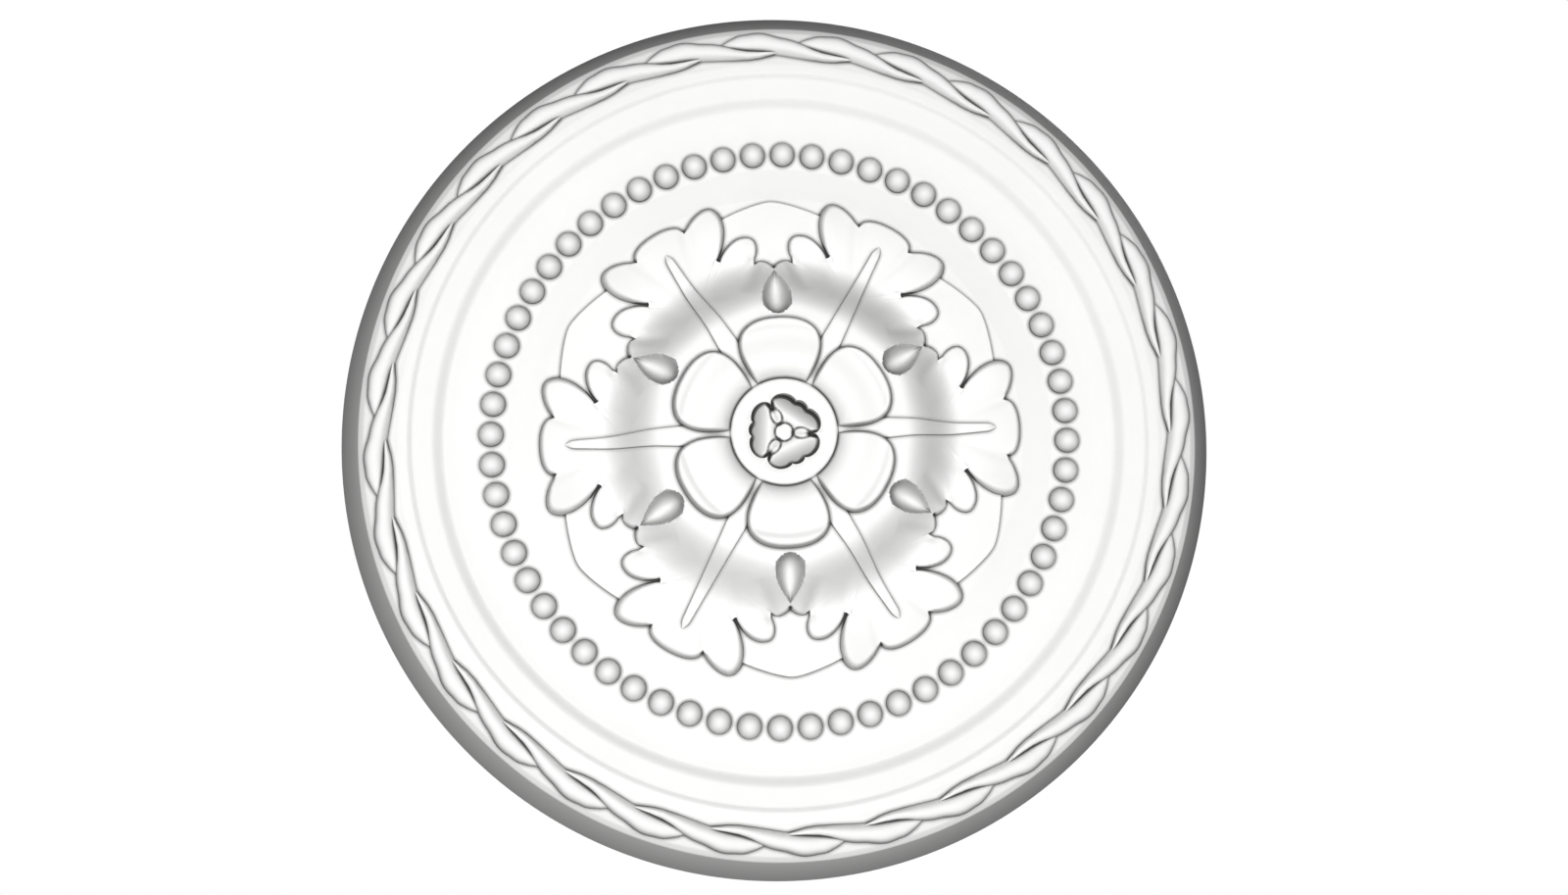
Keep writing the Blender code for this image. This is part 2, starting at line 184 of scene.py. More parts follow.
def meshOf(work, name):
    bmesh.ops.remove_doubles(work, verts=work.verts, dist=weld)
    bmesh.ops.recalc_face_normals(work, faces=work.faces)
    mesh = bpy.data.meshes.new(name)
    work.to_mesh(mesh)
    work.free()
    return mesh


def addObject(name, data):
    added = bpy.data.objects.new(name, data)
    bpy.context.scene.collection.objects.link(added)
    return added


def finishPiece(name, mesh, sharpAngle=38):
    # turns the relief over, smooths it and ties it to the body of the part
    mesh.transform(faceDown)
    mesh.materials.clear()
    mesh.materials.append(plaster)
    mesh.shade_smooth()
    mesh.set_sharp_from_angle(angle=math.radians(sharpAngle))
    piece = addObject(name, mesh)
    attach(piece, "root")
    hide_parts(roseNode)
    print("piece:", name, len(mesh.polygons), "faces")


# Node trees: sockets that Python's operators can work on

class Wire:
    def __init__(self, graph, socket):
        self.graph = graph
        self.socket = socket

    def __add__(self, other):
        return self.graph.maths("ADD", self, other)

    def __radd__(self, other):
        return self.graph.maths("ADD", other, self)

    def __sub__(self, other):
        return self.graph.maths("SUBTRACT", self, other)

    def __rsub__(self, other):
        return self.graph.maths("SUBTRACT", other, self)

    def __mul__(self, other):
        return self.graph.maths("MULTIPLY", self, other)

    def __rmul__(self, other):
        return self.graph.maths("MULTIPLY", other, self)

    def __truediv__(self, other):
        return self.graph.maths("DIVIDE", self, other)

    def __mod__(self, other):
        return self.graph.maths("FLOORED_MODULO", self, other)


class Graph:
    nodesPerRow = 12
    columnWidth = 200
    rowHeight = 180

    def __init__(self, tree):
        self.tree = tree

    def node(self, kind, settings=None, values=None, output=0):
        made = self.tree.nodes.new(kind)
        row, column = divmod(len(self.tree.nodes), self.nodesPerRow)
        made.location = (self.columnWidth * column, -self.rowHeight * row)
        for key, value in (settings or {}).items():
            setattr(made, key, value)
        for key, value in (values or {}).items():
            socket = self.find(made.inputs, key)
            if isinstance(value, Wire):
                self.tree.links.new(value.socket, socket)
            else:
                socket.default_value = value
        return Wire(self, self.find(made.outputs, output))

    def maths(self, operation, first, second=0.0):
        return self.node("ShaderNodeMath", {"operation": operation}, {0: first, 1: second})

    @staticmethod
    def find(sockets, key):
        if isinstance(key, int):
            return sockets[key]
        return next(socket for socket in sockets if socket.name == key and socket.enabled)


def newNodeTree(name, inputs):
    # a geometry tree with named inputs, and the wire of each one
    tree = bpy.data.node_groups.new(name, "GeometryNodeTree")
    tree.is_modifier = True
    tree.interface.new_socket(name="Geometry", in_out="OUTPUT", socket_type="NodeSocketGeometry")
    for label, kind in inputs.items():
        tree.interface.new_socket(name=label, in_out="INPUT", socket_type=kind)
    graph = Graph(tree)
    entry = tree.nodes.new("NodeGroupInput")
    return graph, {label: Wire(graph, entry.outputs[label]) for label in inputs}


def closeTree(graph, geometry, material):
    realised = graph.node("GeometryNodeRealizeInstances", values={"Geometry": geometry})
    finished = graph.node("GeometryNodeSetMaterial",
                          values={"Geometry": realised, "Material": material})
    outlet = graph.tree.nodes.new("NodeGroupOutput")
    graph.tree.links.new(finished.socket, outlet.inputs["Geometry"])
    return graph.tree


def runTree(mesh, tree, values):
    # sets the inputs by identifier, evaluates once and returns the plain mesh
    carrier = addObject("carrier", mesh)
    step = carrier.modifiers.new("shape", "NODES")
    step.node_group = tree
    for item in tree.interface.items_tree:
        if item.item_type == "SOCKET" and item.in_out == "INPUT" and item.name in values:
            step[item.identifier] = values[item.name]
    evaluated = carrier.evaluated_get(bpy.context.evaluated_depsgraph_get())
    made = bpy.data.meshes.new_from_object(evaluated)
    carrier.modifiers.clear()
    bpy.data.objects.remove(carrier)
    return made


def makeRingTree():
    # repeats the incoming form round the axis, evenly
    graph, given = newNodeTree("ringOfCopies", {
        "Geometry": "NodeSocketGeometry", "Copies": "NodeSocketInt",
        "First Turn": "NodeSocketFloat", "Material": "NodeSocketMaterial"})
    places = graph.node("GeometryNodeMeshLine", {"mode": "OFFSET"},
                        {"Count": given["Copies"], "Offset": (0, 0, 0)})
    number = graph.node("GeometryNodeInputIndex")
    turn = number * math.tau / given["Copies"] + given["First Turn"]
    spin = graph.node("ShaderNodeCombineXYZ", values={"Z": turn})
    copies = graph.node("GeometryNodeInstanceOnPoints",
                        values={"Points": places, "Instance": given["Geometry"], "Rotation": spin})
    return closeTree(graph, copies, given["Material"])


def makeLatheTree():
    # turns the incoming outline, whose x is the radius and z the height, round the axis
    graph, given = newNodeTree("turnedOnLathe", {
        "Geometry": "NodeSocketGeometry", "Sides": "NodeSocketInt",
        "Outline Points": "NodeSocketInt", "Material": "NodeSocketMaterial"})
    grid = graph.node("GeometryNodeMeshGrid",
                      values={"Size X": 1.0, "Size Y": 1.0, "Vertices X": given["Sides"] + 1,
                              "Vertices Y": given["Outline Points"]}, output="Mesh")
    number = graph.node("GeometryNodeInputIndex")
    row = number % given["Outline Points"]
    column = (number - row) / given["Outline Points"]
    place = graph.node("GeometryNodeInputPosition")
    sample = graph.node("GeometryNodeSampleIndex", {"data_type": "FLOAT_VECTOR"},
                        {"Geometry": given["Geometry"], "Value": place, "Index": row})
    radius = graph.node("ShaderNodeSeparateXYZ", values={"Vector": sample}, output="X")
    height = graph.node("ShaderNodeSeparateXYZ", values={"Vector": sample}, output="Z")
    turn = column * math.tau / given["Sides"]
    around = graph.node("ShaderNodeCombineXYZ",
                        values={"X": radius * graph.maths("COSINE", turn),
                                "Y": radius * graph.maths("SINE", turn), "Z": height})
    moved = graph.node("GeometryNodeSetPosition", values={"Geometry": grid, "Position": around})
    merged = graph.node("GeometryNodeMergeByDistance", values={"Geometry": moved, "Distance": weld})
    return closeTree(graph, merged, given["Material"])


def finishRing(name, mesh, copies, firstTurn=0.0):
    # repeats a form round the axis and finishes the ring as one piece
    ring = runTree(mesh, ringTree, {"Copies": copies, "First Turn": firstTurn, "Material": plaster})
    finishPiece(name, ring)


# Finish: matt white painted plaster, with painted shade: the colour is darkened where shade falls in
# creases and in hollows and on steep flanks that turn from the light, and the surface is a little
# rougher there

plasterFinishAndShade = {
    "colour": (0.860, 0.860, 0.856, 1),
    # painted shade: creases, hollows and steep flanks are mixed towards shadeColour, standing in for
    # the shade that falls there
    "shadeColour": (0.15, 0.15, 0.147, 1),
    "flankShade": 0.46,
    "creaseShadeReach": 0.0028, "creaseShadeStrength": 1.50,
    "hollowShadeReach": 0.014, "hollowShadeStrength": 0.22,
    "shadeSamples": 8,
    "roughness": (0.62, 0.76), "creaseRoughness": 0.1, "specular": 0.35,
    "mottle": {"Scale": 14.0, "Detail": 4.0, "Roughness": 0.6}, "mottleRange": 0.036,
    "grain": {"Scale": 900.0, "Detail": 3.0, "Roughness": 0.65}, "grainDepth": 0.00004,
    "ripple": {"Scale": 55.0, "Detail": 2.0}, "rippleDepth": 0.00010,
    "streaks": {"Scale": 1.0, "Detail": 5.0, "Roughness": 0.55}, "streakDepth": 0.0006,
    "streakStretch": (14.0, 160.0, 1.0), "streakTurn": (0, 0, 0.4),
    "backFrom": -0.0004,            # the streaks are on the back alone, which lies above this
}


def makePlaster(look):
    material = bpy.data.materials.new("plasterWithPaintedShade")
    material.use_nodes = True
    graph = Graph(material.node_tree)
    shader = material.node_tree.nodes["Principled BSDF"]
    place = graph.node("ShaderNodeTexCoord", output="Object")

    mottle = graph.node("ShaderNodeTexNoise", values={"Vector": place, **look["mottle"]})
    grain = graph.node("ShaderNodeTexNoise", values={"Vector": place, **look["grain"]})
    ripple = graph.node("ShaderNodeTexNoise", values={"Vector": place, **look["ripple"]})
    stretched = graph.node("ShaderNodeMapping", values={
        "Vector": place, "Scale": look["streakStretch"], "Rotation": look["streakTurn"]})
    streaks = graph.node("ShaderNodeTexNoise", values={"Vector": stretched, **look["streaks"]})

    def opennessWithin(reach):
        return graph.node("ShaderNodeAmbientOcclusion", {"samples": look["shadeSamples"]},
                          {"Distance": reach}, output="AO")

    facing = graph.node("ShaderNodeTexCoord", output="Normal")
    level = graph.node("ShaderNodeSeparateXYZ", values={"Vector": facing}, output="Z")
    flank = 1 - graph.maths("ABSOLUTE", level)
    # painted shade: darker in creases and hollows, where shade falls, and on steep flanks, which
    # turn from the light
    shade = (1 - opennessWithin(look["creaseShadeReach"])) * look["creaseShadeStrength"] \
        + (1 - opennessWithin(look["hollowShadeReach"])) * look["hollowShadeStrength"] \
        + flank * look["flankShade"]
    painted = graph.node("ShaderNodeMix", {"data_type": "RGBA", "clamp_factor": True},
                         {"Factor": shade, "A": look["colour"], "B": look["shadeColour"]},
                         output="Result")
    tone = 1 - (mottle - 0.5) * look["mottleRange"]
    colour = graph.node("ShaderNodeVectorMath", {"operation": "SCALE"},
                        {"Vector": painted, "Scale": tone})

    smoothest, roughest = look["roughness"]
    rough = smoothest + (roughest - smoothest) * grain + shade * look["creaseRoughness"]

    height = graph.node("ShaderNodeSeparateXYZ", values={"Vector": place}, output="Z")
    onBack = graph.maths("GREATER_THAN", height, look["backFrom"])
    surface = grain * look["grainDepth"] + ripple * look["rippleDepth"] \
        + streaks * onBack * look["streakDepth"]
    bump = graph.node("ShaderNodeBump", values={"Height": surface, "Strength": 1.0, "Distance": 1.0})

    links = material.node_tree.links
    links.new(colour.socket, shader.inputs["Base Color"])
    links.new(rough.socket, shader.inputs["Roughness"])
    links.new(bump.socket, shader.inputs["Normal"])
    shader.inputs["Specular IOR Level"].default_value = look["specular"]
    return material


plaster = makePlaster(plasterFinishAndShade)
ringTree = makeRingTree()
latheTree = makeLatheTree()
print("trees and finish ready")

# What the pieces in the middle share. Reaches from the axis, such as radius, inner, slope or dish,
# are shares of the medallion's radius, and heights, depths, widths of edges and gaps are in metres.
# A place on a leaf is (across, along): across is 0 on the leaf's middle line and 1 between two
# leaves, and along is a reach.

leafForm = {
    "count": 6,
    "thickness": 0.0036,        # of the tips over the plate
    "inner": 0.215, "middle": 0.63, "tip": 0.996, "meeting": 0.694, "sideEnd": 0.688,
    "slope": (0.50, 0.735), "slopeSpread": (0.02, 0.02), "spreadFrom": 0.3,
    "tipNotch": (0.243, 0.942), "largeLobe": (0.570, 0.977),
    "deepNotch": (0.400, 0.760), "smallLobe": (0.745, 0.848),
    "lowNotch": (0.803, 0.733), "lowLobe": (0.920, 0.735),
    "fullness": 2.2,
    "edgeWidths": {"low": 0.0028, "small": 0.0032, "large": 0.0058, "tip": 0.0040},
    "notchWidth": 0.0022, "edgeSteepness": 1.75, "edgeCurve": 2.2,
    # how many points each stretch of the outline has, and how they crowd
    "steps": {"foot": 8, "side": 56, "low": 14, "small": 30, "large": 38, "tip": 40},
    "sideCrowding": 0.6, "edgeSteps": 6, "rings": 38, "ringCrowding": 1.35,
    "seamWeld": 2e-6, "shortestEdge": 1e-7,
}
flowerForm = {
    "radius": 0.472, "inner": 0.205, "straight": 0.24, "middle": 0.35, "fullness": 3.0,
    "rise": 0.009, "gap": 0.0022,       # over the leaves, and between two petals
    "edgeWidth": 0.0034, "edgeSteepness": 2.5, "edgeCurve": 2.6, "edgeNarrowing": (0.200, 0.230),
    "footEnd": 0.318, "footDrop": 0.0048, "footCurve": 3.0,
    "dish": (0.31, 0.40), "lip": (0.410, 0.440), "dishDepth": 0.0015,
    "steps": {"side": 5, "end": 72, "foot": 28}, "edgeSteps": 7, "rings": 28, "ringCrowding": 1.0,
}
hubForm = {
    "radius": 0.222, "drop": 0.005, "wellDepth": 0.0165,
    "bodyWell": 0.18,               # the well in the core, hidden by the flat ring
    "rim": (                        # inset, drop
        (0.0, 0.0026), (0.0006, 0.0015), (0.0014, 0.0007), (0.0024, 0.0002), (0.0036, 0.0)),
}
plateForm = {
    "thickness": 0.0025, "corner": 0.985, "rounding": 0.123, "cornerSoftness": 0.05,
    "steps": 24, "bevel": 0.0007,
    "edge": (                       # inset and height, in bevels
        (0.0, -1.0), (bevelShare, -bevelShare), (1.0, 0.0), (1.6, 0.0), (8.0, 0.0)),
}
halfSector = math.pi / leafForm["count"]
plateHeight = bandHeight + plateForm["thickness"]
tipHeight = plateHeight + leafForm["thickness"]
flowerTop = roseDepth
leafTop = flowerTop - flowerForm["rise"]
hubHeight = flowerTop - hubForm["drop"]
wellFloor = hubHeight - hubForm["wellDepth"]

# Body: everything that is turned, with the core under the flower and the floor of the bud's well

bodyForm = {
    "sides": 360, "softness": 0.0008, "softShare": 0.45, "cornerSteps": 3,
    "coveSteps": 10, "fieldSteps": 6, "fieldSag": 0.0006,
    "coreMargin": 0.003, "coreGap": 0.0006,
}


def softCorner(before, corner, after):
    # a small curve in place of a corner of the outline, no longer than a share of its two sides
    before, corner, after = (np.array(point, float) for point in (before, corner, after))
    sides = []
    for point in (before, after):
        side = point - corner
        length = np.hypot(*side)
        reach = min(bodyForm["softness"], length * bodyForm["softShare"])
        sides.append(side / max(length, tiny) * reach)
    shares = [i / bodyForm["cornerSteps"] for i in range(bodyForm["cornerSteps"] + 1)]
    return [corner + sides[0] * (1 - share) ** 2 + sides[1] * share ** 2 for share in shares]


def curvedBand(name, outer, inner):
    # the points between the ends of a curved band: the cove is an S, and the field sags a little
    steps = {"cove": bodyForm["coveSteps"], "field": bodyForm["fieldSteps"]}.get(name, 1)
    points = []
    for i in range(1, steps):
        share = i / steps
        fall, sag = share, bodyForm["fieldSag"] * math.sin(math.pi * share)
        if name == "cove":
            fall, sag = float(smooth(share, 0, 1)), 0.0
        points.append((outer[0] + (inner[0] - outer[0]) * share,
                       outer[1] + (inner[1] - outer[1]) * fall - sag))
    return points


def bodyOutline():
    core = medallion * (leafForm["inner"] + flowerForm["middle"]) / 2 + bodyForm["coreMargin"]
    coreTop = leafTop - bodyForm["coreGap"]
    well = medallion * hubForm["bodyWell"]
    corners = [(0, 0), (roseRadius, 0)]
    for name, (outer, inner) in bands.items():
        corners += [*curvedBand(name, outer, inner), inner]
    corners += [(core, bandHeight), (core, coreTop), (well, coreTop)]
    corners += [(well, wellFloor), (0, wellFloor)]
    outline = [np.array(corners[0], float)]
    for before, corner, after in zip(corners, corners[1:], corners[2:]):
        outline += softCorner(before, corner, after)
    return outline + [np.array(corners[-1], float)]


def makeBody():
    outline = bodyOutline()
    mesh = bpy.data.meshes.new("bodyOutline")
    edges = [(i, i + 1) for i in range(len(outline) - 1)]
    mesh.from_pydata([(radius, 0, height) for radius, height in outline], edges, [])
    turned = runTree(mesh, latheTree, {
        "Sides": bodyForm["sides"], "Outline Points": len(outline), "Material": plaster})
    work = bmesh.new()
    work.from_mesh(turned)
    finishPiece("rose_body", meshOf(work, "rose_body"))


makeBody()

# Rope border: strands that lie over one another. Each starts at the inner edge on the flank of the
# one before it, widens outwards and ends under the next. The stations are counted in pitches along
# a strand, and hold how far its inner and outer side lie from the band's inner edge, and how high
# its top is over that edge.

ropeForm = {
    "count": 32, "turn": math.radians(-2.3), "roundness": 2.5, "innerFlank": 2.3,
    "overlap": 0.0006, "leastHeight": 0.0002,
    "sections": 72, "ribs": 20,
    "stations": (
        (0.00, 0.0076, 0.0094, 0.0004),
        (0.15, 0.0054, 0.0097, 0.0016),
        (0.33, 0.0035, 0.0101, 0.0024),
        (0.50, 0.0034, 0.0116, 0.0030),
        (0.70, 0.0040, 0.0158, 0.0034),
        (0.99, 0.0060, 0.0200, 0.0034),
        (1.40, 0.0080, 0.0231, 0.0026),
        (1.60, 0.0095, 0.0206, 0.0012),
        (1.76, 0.0120, 0.0160, -0.0005),
    ),
}


def ropeGround(radius):
    (outer, low), (inner, high) = bands["ropeGround"]
    return low + (high - low) * (outer - radius) / (outer - inner)


def throughStations(stations, place):
    # a smooth curve through the stations' values
    table = np.array(stations)
    places, values = table[:, 0], table[:, 1:]
    slopes = np.gradient(values, places, axis=0)
    i = min(int(np.searchsorted(places, place, side="right")), len(places) - 1) - 1
    length = places[i + 1] - places[i]
    share = (place - places[i]) / length
    ahead = values[i] + slopes[i] * length * share
    behind = values[i + 1] - slopes[i + 1] * length * (1 - share)
    return ahead + (behind - ahead) * smooth(share, 0, 1)


def makeStrand():
    inner, level = bands["ropeGround"][1]
    stations = ropeForm["stations"]
    rings = []
    for i in range(ropeForm["sections"] + 1):
        place = stations[-1][0] * i / ropeForm["sections"]
        near, far, crown = (float(value) for value in throughStations(stations, place))
        centre, half = inner + (near + far) / 2, (far - near) / 2
        angle = math.tau / ropeForm["count"] * place
        ring = []
        for k in range(ropeForm["ribs"] + 1):
            across, rise = arch(math.pi * k / ropeForm["ribs"], ropeForm["roundness"])
            if across < 0:      # the inner flank is a gentle one
                rise = 1 - abs(across) ** ropeForm["innerFlank"]
            radius = centre + half * across
            ground = ropeGround(radius) - ropeForm["overlap"]
            tall = max(level + crown - ground, ropeForm["leastHeight"])
            ring.append((*polar(angle, radius), ground + tall * rise))
        foot = ropeGround(centre) - sink
        ring += [(*polar(angle, radius), foot) for radius in (centre - half, centre + half)]
        rings.append(ring)
    return meshOf(loftRings(rings), "strand")


finishRing("rope_border", makeStrand(), ropeForm["count"], ropeForm["turn"])

# Ring of beads

beadForm = {"count": 60, "diameter": 0.0168, "rise": 1.12, "sunk": 0.001, "sides": 28, "rings": 10}


def makeBead():
    radius = beadForm["diameter"] / 2
    top = radius * beadForm["rise"]
    middle = (bands["seat"][0][0] + bands["seat"][1][0]) / 2
    angles = np.arange(beadForm["sides"]) * math.tau / beadForm["sides"]

    def circle(reach, height):
        return [(middle + reach * math.cos(angle), reach * math.sin(angle), height)
                for angle in angles]

    rings = [circle(radius, seatHeight - beadForm["sunk"])]
    for i in range(beadForm["rings"]):
        latitude = math.pi / 2 * i / beadForm["rings"]
        rings.append(circle(radius * math.cos(latitude), seatHeight + top * math.sin(latitude)))
    return meshOf(loftRings(rings, (middle, 0, seatHeight + top)), "bead")


finishRing("bead_ring", makeBead(), beadForm["count"], math.pi / beadForm["count"])

# Plate under the leaves, whose six soft corners show between them


def makePlate():
    steps, soft, bevel = (plateForm[name] for name in ("steps", "cornerSoftness", "bevel"))
    outline = []
    for i in range(2 * steps * leafForm["count"]):
        off = (i % (2 * steps) - steps) / steps
        bend = math.sqrt(off ** 2 + soft ** 2) - soft
        radius = medallion * plateForm["corner"] * (1 - plateForm["rounding"] * bend)
        outline.append((halfSector * i / steps, radius))
    levels = [(0, bandHeight - sink)]
    levels += [(bevel * inset, plateHeight + bevel * height) for inset, height in plateForm["edge"]]
    rings = [[(*polar(angle, radius - inset), height) for angle, radius in outline]
             for inset, height in levels]
    finishPiece("leaf_plate", meshOf(loftRings(rings, (0, 0, plateHeight)), "plate"))


makePlate()

# Leaves: six in one ring, each with seven lobes, low at the tips and high under the flower

leafCarving = {
    "hills": (          # across, along, width, rise
        (0.57, 0.915, 0.017, 0.0030),
        (0.70, 0.800, 0.009, 0.0012),
        (0.00, 0.915, 0.015, 0.0010),
    ),
    "furrows": (        # start, end, width, depth
        ("tipNotch", (0.12, 0.72), 0.0040, 0.0012),
        ("deepNotch", (0.24, 0.60), 0.0055, 0.0012),
        ("lowNotch", (0.60, 0.60), 0.0046, 0.0028),
    ),
    "furrowFading": 0.7,
}
eyeForm = {"bulb": 0.552, "radius": 0.061, "point": 0.690, "depth": 0.0155,
           "taper": 1.15, "cone": 2.0}


def sectorPoint(across, along):
    return polar(halfSector * across, medallion * along)


def eyeHollow(folded):
    # a drop hollowed out between two leaves: round at the bulb, drawn out to a point outwards
    turned = folded @ np.array(((math.cos(halfSector), -math.sin(halfSector)),
                                (math.sin(halfSector), math.cos(halfSector))))
    radius = medallion * eyeForm["radius"]
    along = turned[:, 0] - medallion * eyeForm["bulb"]
    length = medallion * (eyeForm["point"] - eyeForm["bulb"])
    tail = np.cos(np.clip(along / length, 0, 1) * math.pi / 2) ** eyeForm["taper"]
    head = np.sqrt(np.clip(1 - (along / radius) ** 2, 0, 1))
    wide = np.where(along > 0, tail, head)
    across = np.clip(np.abs(turned[:, 1]) / np.maximum(radius * wide, tiny), 0, 1)
    return eyeForm["depth"] * wide * (1 - across ** eyeForm["cone"])


def leafHeight(points):
    # height of the leaves' surface, worked out in one half of a leaf, which the others repeat
    points = np.asarray(points, float)
    radius = np.hypot(points[:, 0], points[:, 1])
    angle = np.arctan2(points[:, 1], points[:, 0])
    off = np.abs((angle + halfSector) % (2 * halfSector) - halfSector)
    folded = np.column_stack((radius * np.cos(off), radius * np.sin(off)))
    spread = smooth(off / halfSector, leafForm["spreadFrom"], 1)
    start, end = (edge + wider * spread
                  for edge, wider in zip(leafForm["slope"], leafForm["slopeSpread"]))
    height = leafTop + (tipHeight - leafTop) * smooth(radius / medallion, start, end)
    for across, along, width, rise in leafCarving["hills"]:
        height += rise * hillAt(folded, sectorPoint(across, along), width)
    for notch, inward, width, depth in leafCarving["furrows"]:
        height -= depth * furrowAlong(folded, sectorPoint(*leafForm[notch]), sectorPoint(*inward),
                                      width, leafCarving["furrowFading"])
    return height - eyeHollow(folded)


def lobe(start, crown, end, steps):
    middle = (start + end) / 2
    turns = [arch(math.pi * i / steps, leafForm["fullness"]) for i in range(steps)]
    return [middle + (start - middle) * side + (crown - middle) * rise for side, rise in turns]


def lobeEdge(name, steps):
    # narrow at both notches, widest at the lobe's crown
    narrow, wide = leafForm["notchWidth"], leafForm["edgeWidths"][name]
    return [narrow + (wide - narrow) * math.sin(math.pi * i / steps) for i in range(steps)]


def leafOutline():
    # points round one leaf, and how wide its rounded edge is there: none on the next leaf's side
    steps, inner = leafForm["steps"], leafForm["inner"]
    points = [sectorPoint(i / steps["foot"], inner) for i in range(steps["foot"])]
    for i in range(steps["side"] + 1):
        share = (i / steps["side"]) ** leafForm["sideCrowding"]
        points.append(sectorPoint(1, inner + (leafForm["sideEnd"] - inner) * share))
    widths = [0.0] * len(points)
    start = sectorPoint(1, leafForm["meeting"])
    for name, crown, end in (("low", "lowLobe", "lowNotch"), ("small", "smallLobe", "deepNotch"),
                             ("large", "largeLobe", "tipNotch")):
        crown, end = sectorPoint(*leafForm[crown]), sectorPoint(*leafForm[end])
        points += lobe(start, crown, end, steps[name])
        widths += lobeEdge(name, steps[name])
        start = end
    widths[steps["foot"] + steps["side"] + 1] = tiny    # not rounded where two leaves meet
    half = steps["tip"] // 2 + 1
    crown = sectorPoint(0, leafForm["tip"])
    points += lobe(start, crown, start * (1, -1), steps["tip"])[:half]
    widths += lobeEdge("tip", steps["tip"])[:half]
    points += [point * (1, -1) for point in reversed(points[1:-1])]
    return np.array(points), np.array(widths + widths[-2:0:-1])


def makeLeaves():
    outline, widths = leafOutline()
    middle = np.array((medallion * leafForm["middle"], 0))
    foot, lowest = bandHeight - sink, bandHeight - sink / 2
    layers, pole = cushionLayers(outline, middle, widths, leafHeight, foot, leafForm, lowest)
    # six leaves are one body, so the walls between them are left open
    rounded = widths > 0
    angles = np.arctan2(outline[:, 1], outline[:, 0])
    between = ~rounded & (np.abs(np.abs(angles) - halfSector) < weld)
    openWall = between & np.roll(between, -1) | (rounded != np.roll(rounded, -1))
    count = len(outline)
    work = bmesh.new()
    for k in range(leafForm["count"]):
        turn = Matrix.Rotation(2 * halfSector * k, 3, "Z")
        loops = [[work.verts.new(turn @ Vector(point)) for point in layer] for layer in layers]
        for lower, upper in zip(loops, loops[1:]):
            for i in range(count):
                j = (i + 1) % count
                if lower is not loops[0] or not openWall[i]:
                    work.faces.new((lower[i], lower[j], upper[j], upper[i]))
        top = work.verts.new(turn @ Vector(pole))
        bottom = work.verts.new(turn @ Vector((*middle, foot)))
        for i in range(count):
            j = (i + 1) % count
            work.faces.new((loops[-1][i], loops[-1][j], top))
            work.faces.new((loops[0][j], loops[0][i], bottom))
    bmesh.ops.remove_doubles(work, verts=work.verts, dist=leafForm["seamWeld"])
    bmesh.ops.dissolve_degenerate(work, edges=work.edges, dist=leafForm["shortestEdge"])
    openEdges = sum(1 for edge in work.edges if len(edge.link_faces) != 2)
    print("leaf ring: edges without two faces:", openEdges)
    finishPiece("leaf_ring", meshOf(work, "leaf_ring"))


makeLeaves()

# Ribs: a raised midrib on every leaf

ribForm = {
    "squareness": 4.0,
    "root": 0.048, "tip": 0.016,    # half its width at both ends, a share of the medallion's radius
    "rise": 0.0020, "overlap": 0.0004, "footDepth": 0.002,
    "start": 0.215, "narrowing": 0.36, "narrowingCurve": 0.8, "end": 0.89,
    "endRoundFrom": 0.92, "endLeast": 0.02,
    "sections": 56, "ribs": 16,
}


def makeRib():
    start, end, narrowing = (ribForm[name] for name in ("start", "end", "narrowing"))
    rings = []
    for i in range(ribForm["sections"] + 1):
        share = i / ribForm["sections"]
        along = start + (end - start) * share
        radius = medallion * along
        narrowed = (max(along - narrowing, 0) / (end - narrowing)) ** ribForm["narrowingCurve"]
        half = medallion * (ribForm["root"] + (ribForm["tip"] - ribForm["root"]) * narrowed)
        rounding = 1 - smooth(share, ribForm["endRoundFrom"], 1) ** 2
        rounding = math.sqrt(max(rounding, ribForm["endLeast"]))
        ring = []
        for k in range(ribForm["ribs"] + 1):
            across, rise = arch(math.pi * k / ribForm["ribs"], ribForm["squareness"])
            side = half * across * rounding
            ground = float(leafHeight([(radius, side)])[0]) - ribForm["overlap"]
            tall = (ribForm["rise"] + ribForm["overlap"]) * rise * rounding
            ring.append((radius, side, ground + tall))
        foot = tipHeight - ribForm["footDepth"]
        ring += [(radius, side, foot) for side in (-half * rounding, half * rounding)]
        rings.append(ring)
    return meshOf(loftRings(rings), "rib")


finishRing("leaf_ribs", makeRib(), leafForm["count"])

# Flower: six petals round a flat ring, with a bud in its well


def petalHeight(points):
    # steep up from the flat ring, then a shallow dish, then a raised lip along the outer edge
    share = np.hypot(points[:, 0], points[:, 1]) / medallion
    inner, end = flowerForm["inner"], flowerForm["footEnd"]
    reach = np.clip((end - share) / (end - inner), 0, 1) ** flowerForm["footCurve"]
    fall = (hubForm["drop"] + flowerForm["footDrop"]) * reach
    dish = smooth(share, *flowerForm["dish"]) - smooth(share, *flowerForm["lip"])
    return flowerTop - fall - flowerForm["dishDepth"] * dish


def petalOutline():
    inner, straight, outer, middle = (
        medallion * flowerForm[name] for name in ("inner", "straight", "radius", "middle"))
    half = halfSector - flowerForm["gap"] / 2 / middle
    side, end, foot = (flowerForm["steps"][name] for name in ("side", "end", "foot"))
    points = [polar(-half, inner + (straight - inner) * i / side) for i in range(side)]
    for i in range(end + 1):
        across, rise = arch(math.pi * i / end, flowerForm["fullness"])
        points.append(polar(-half * across, straight + (outer - straight) * rise))
    points += [polar(half, straight + (inner - straight) * i / side) for i in range(1, side + 1)]
    return np.array(points + [polar(half * (1 - 2 * i / foot), inner) for i in range(1, foot)])


def makePetal():
    outline = petalOutline()
    middle = np.array((medallion * flowerForm["middle"], 0))
    widths = flowerForm["edgeWidth"] * smooth(np.hypot(*outline.T) / medallion,
                                              *flowerForm["edgeNarrowing"])
    layers, pole = cushionLayers(outline, middle, widths, petalHeight, leafTop - sink, flowerForm)
    return meshOf(loftRings(layers, pole), "petal")


finishRing("petals", makePetal(), leafForm["count"], halfSector)

